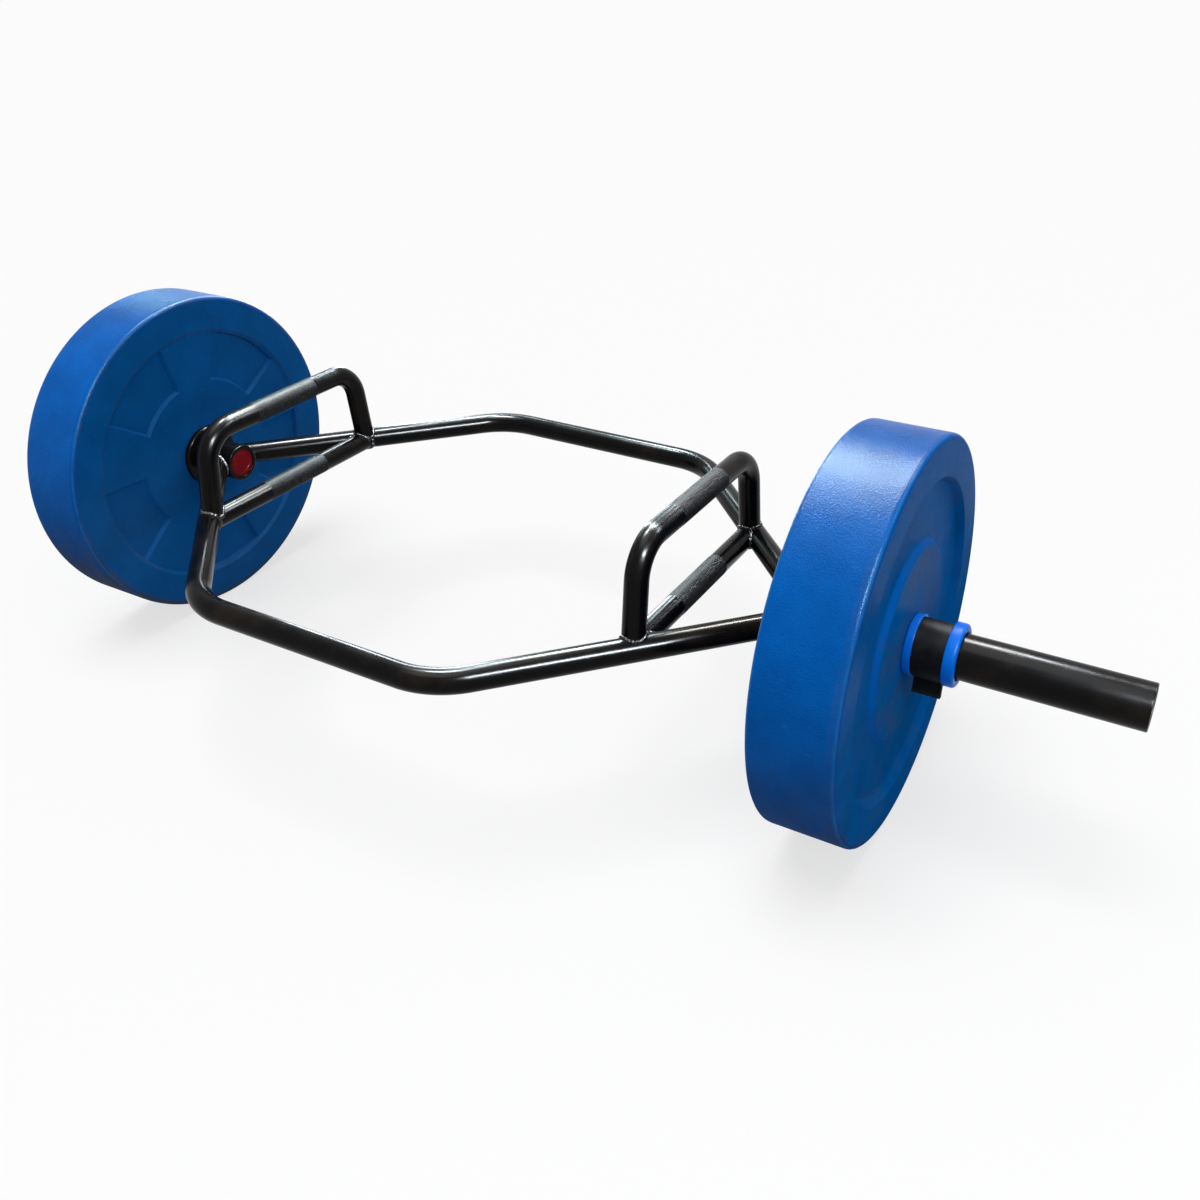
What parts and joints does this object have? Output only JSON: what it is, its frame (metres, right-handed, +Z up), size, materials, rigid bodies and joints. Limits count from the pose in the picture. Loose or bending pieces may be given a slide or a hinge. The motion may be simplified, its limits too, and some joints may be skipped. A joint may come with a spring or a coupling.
{
  "type": "loaded hexagonal trap barbell",
  "caption": "Hexagonal welded trap bar with raised and lower grips, 50 mm sleeves, blue bumper plates and lever-lock sleeve collars.",
  "frame": {"origin": "on the floor under the middle of the bar", "axes": "X along the sleeves, Y from the front rail to the rear rail, Z up"},
  "size_m": [1.614, 0.6426, 0.45],
  "materials": {
    "frame_paint": "gloss black powder coat on steel tube",
    "grip_paint": "gloss black coat, matt knurled band at mid length",
    "inner_plug": "red moulded plug",
    "tip_plug": "black moulded plug",
    "bush_steel": "zinc plated",
    "plate_rubber": "satin blue rubber with fine grain",
    "collar_plastic": "satin bright blue moulded plastic",
    "latch_plastic": "black moulded plastic",
    "pin_steel": "plain",
    "shoe_rubber": "matt black",
    "pad_rubber": "matt black"
  },
  "bodies": {
    "frame": {"rail_front": "frame_paint", "rail_rear": "frame_paint", "raised_handle_left": "grip_paint", "raised_handle_right": "grip_paint", "lower_handle_left": "grip_paint", "lower_handle_right": "grip_paint", "sleeve_left": "frame_paint", "sleeve_right": "frame_paint", "stop_flange_left": "frame_paint", "stop_flange_right": "frame_paint", "inner_plug_left": "inner_plug", "inner_plug_right": "inner_plug", "tip_plug_left": "tip_plug", "tip_plug_right": "tip_plug"},
    "bush_left": {"plate_bush_left": "bush_steel"},
    "plate_left": {"plate_left": "plate_rubber"},
    "collar_left": {"collar_body_left": "collar_plastic", "latch_pin_left": "pin_steel", "cam_shoe_left": "shoe_rubber", "grip_pad_front_left": "pad_rubber", "grip_pad_bottom_left": "pad_rubber", "grip_pad_rear_left": "pad_rubber"},
    "latch_left": {"collar_latch_left": "latch_plastic"},
    "bush_right": {"plate_bush_right": "bush_steel"},
    "plate_right": {"plate_right": "plate_rubber"},
    "collar_right": {"collar_body_right": "collar_plastic", "latch_pin_right": "pin_steel", "cam_shoe_right": "shoe_rubber", "grip_pad_front_right": "pad_rubber", "grip_pad_bottom_right": "pad_rubber", "grip_pad_rear_right": "pad_rubber"},
    "latch_right": {"collar_latch_right": "latch_plastic"}
  },
  "joints": [
    {"name": "plate_slide_left", "type": "slide", "parent": "frame", "child": "bush_left", "axis": [-1, 0, 0], "range_m": [0, 0.34]},
    {"name": "plate_spin_left", "type": "hinge", "parent": "bush_left", "child": "plate_left", "pos_m": [-0.521, 0, 0.225], "axis": [1, 0, 0], "continuous": true},
    {"name": "collar_slide_left", "type": "slide", "parent": "bush_left", "child": "collar_left", "axis": [-1, 0, 0], "range_m": [0, 0.245]},
    {"name": "latch_hinge_left", "type": "hinge", "parent": "collar_left", "child": "latch_left", "pos_m": [-0.5909, -0.00521, 0.25454], "axis": [1, 0, 0], "range_deg": [0, 100]},
    {"name": "plate_slide_right", "type": "slide", "parent": "frame", "child": "bush_right", "axis": [1, 0, 0], "range_m": [0, 0.34]},
    {"name": "plate_spin_right", "type": "hinge", "parent": "bush_right", "child": "plate_right", "pos_m": [0.521, 0, 0.225], "axis": [1, 0, 0], "continuous": true},
    {"name": "collar_slide_right", "type": "slide", "parent": "bush_right", "child": "collar_right", "axis": [1, 0, 0], "range_m": [0, 0.245]},
    {"name": "latch_hinge_right", "type": "hinge", "parent": "collar_right", "child": "latch_right", "pos_m": [0.5909, 0.00521, 0.25454], "axis": [-1, 0, 0], "range_deg": [0, 100]}
  ]
}
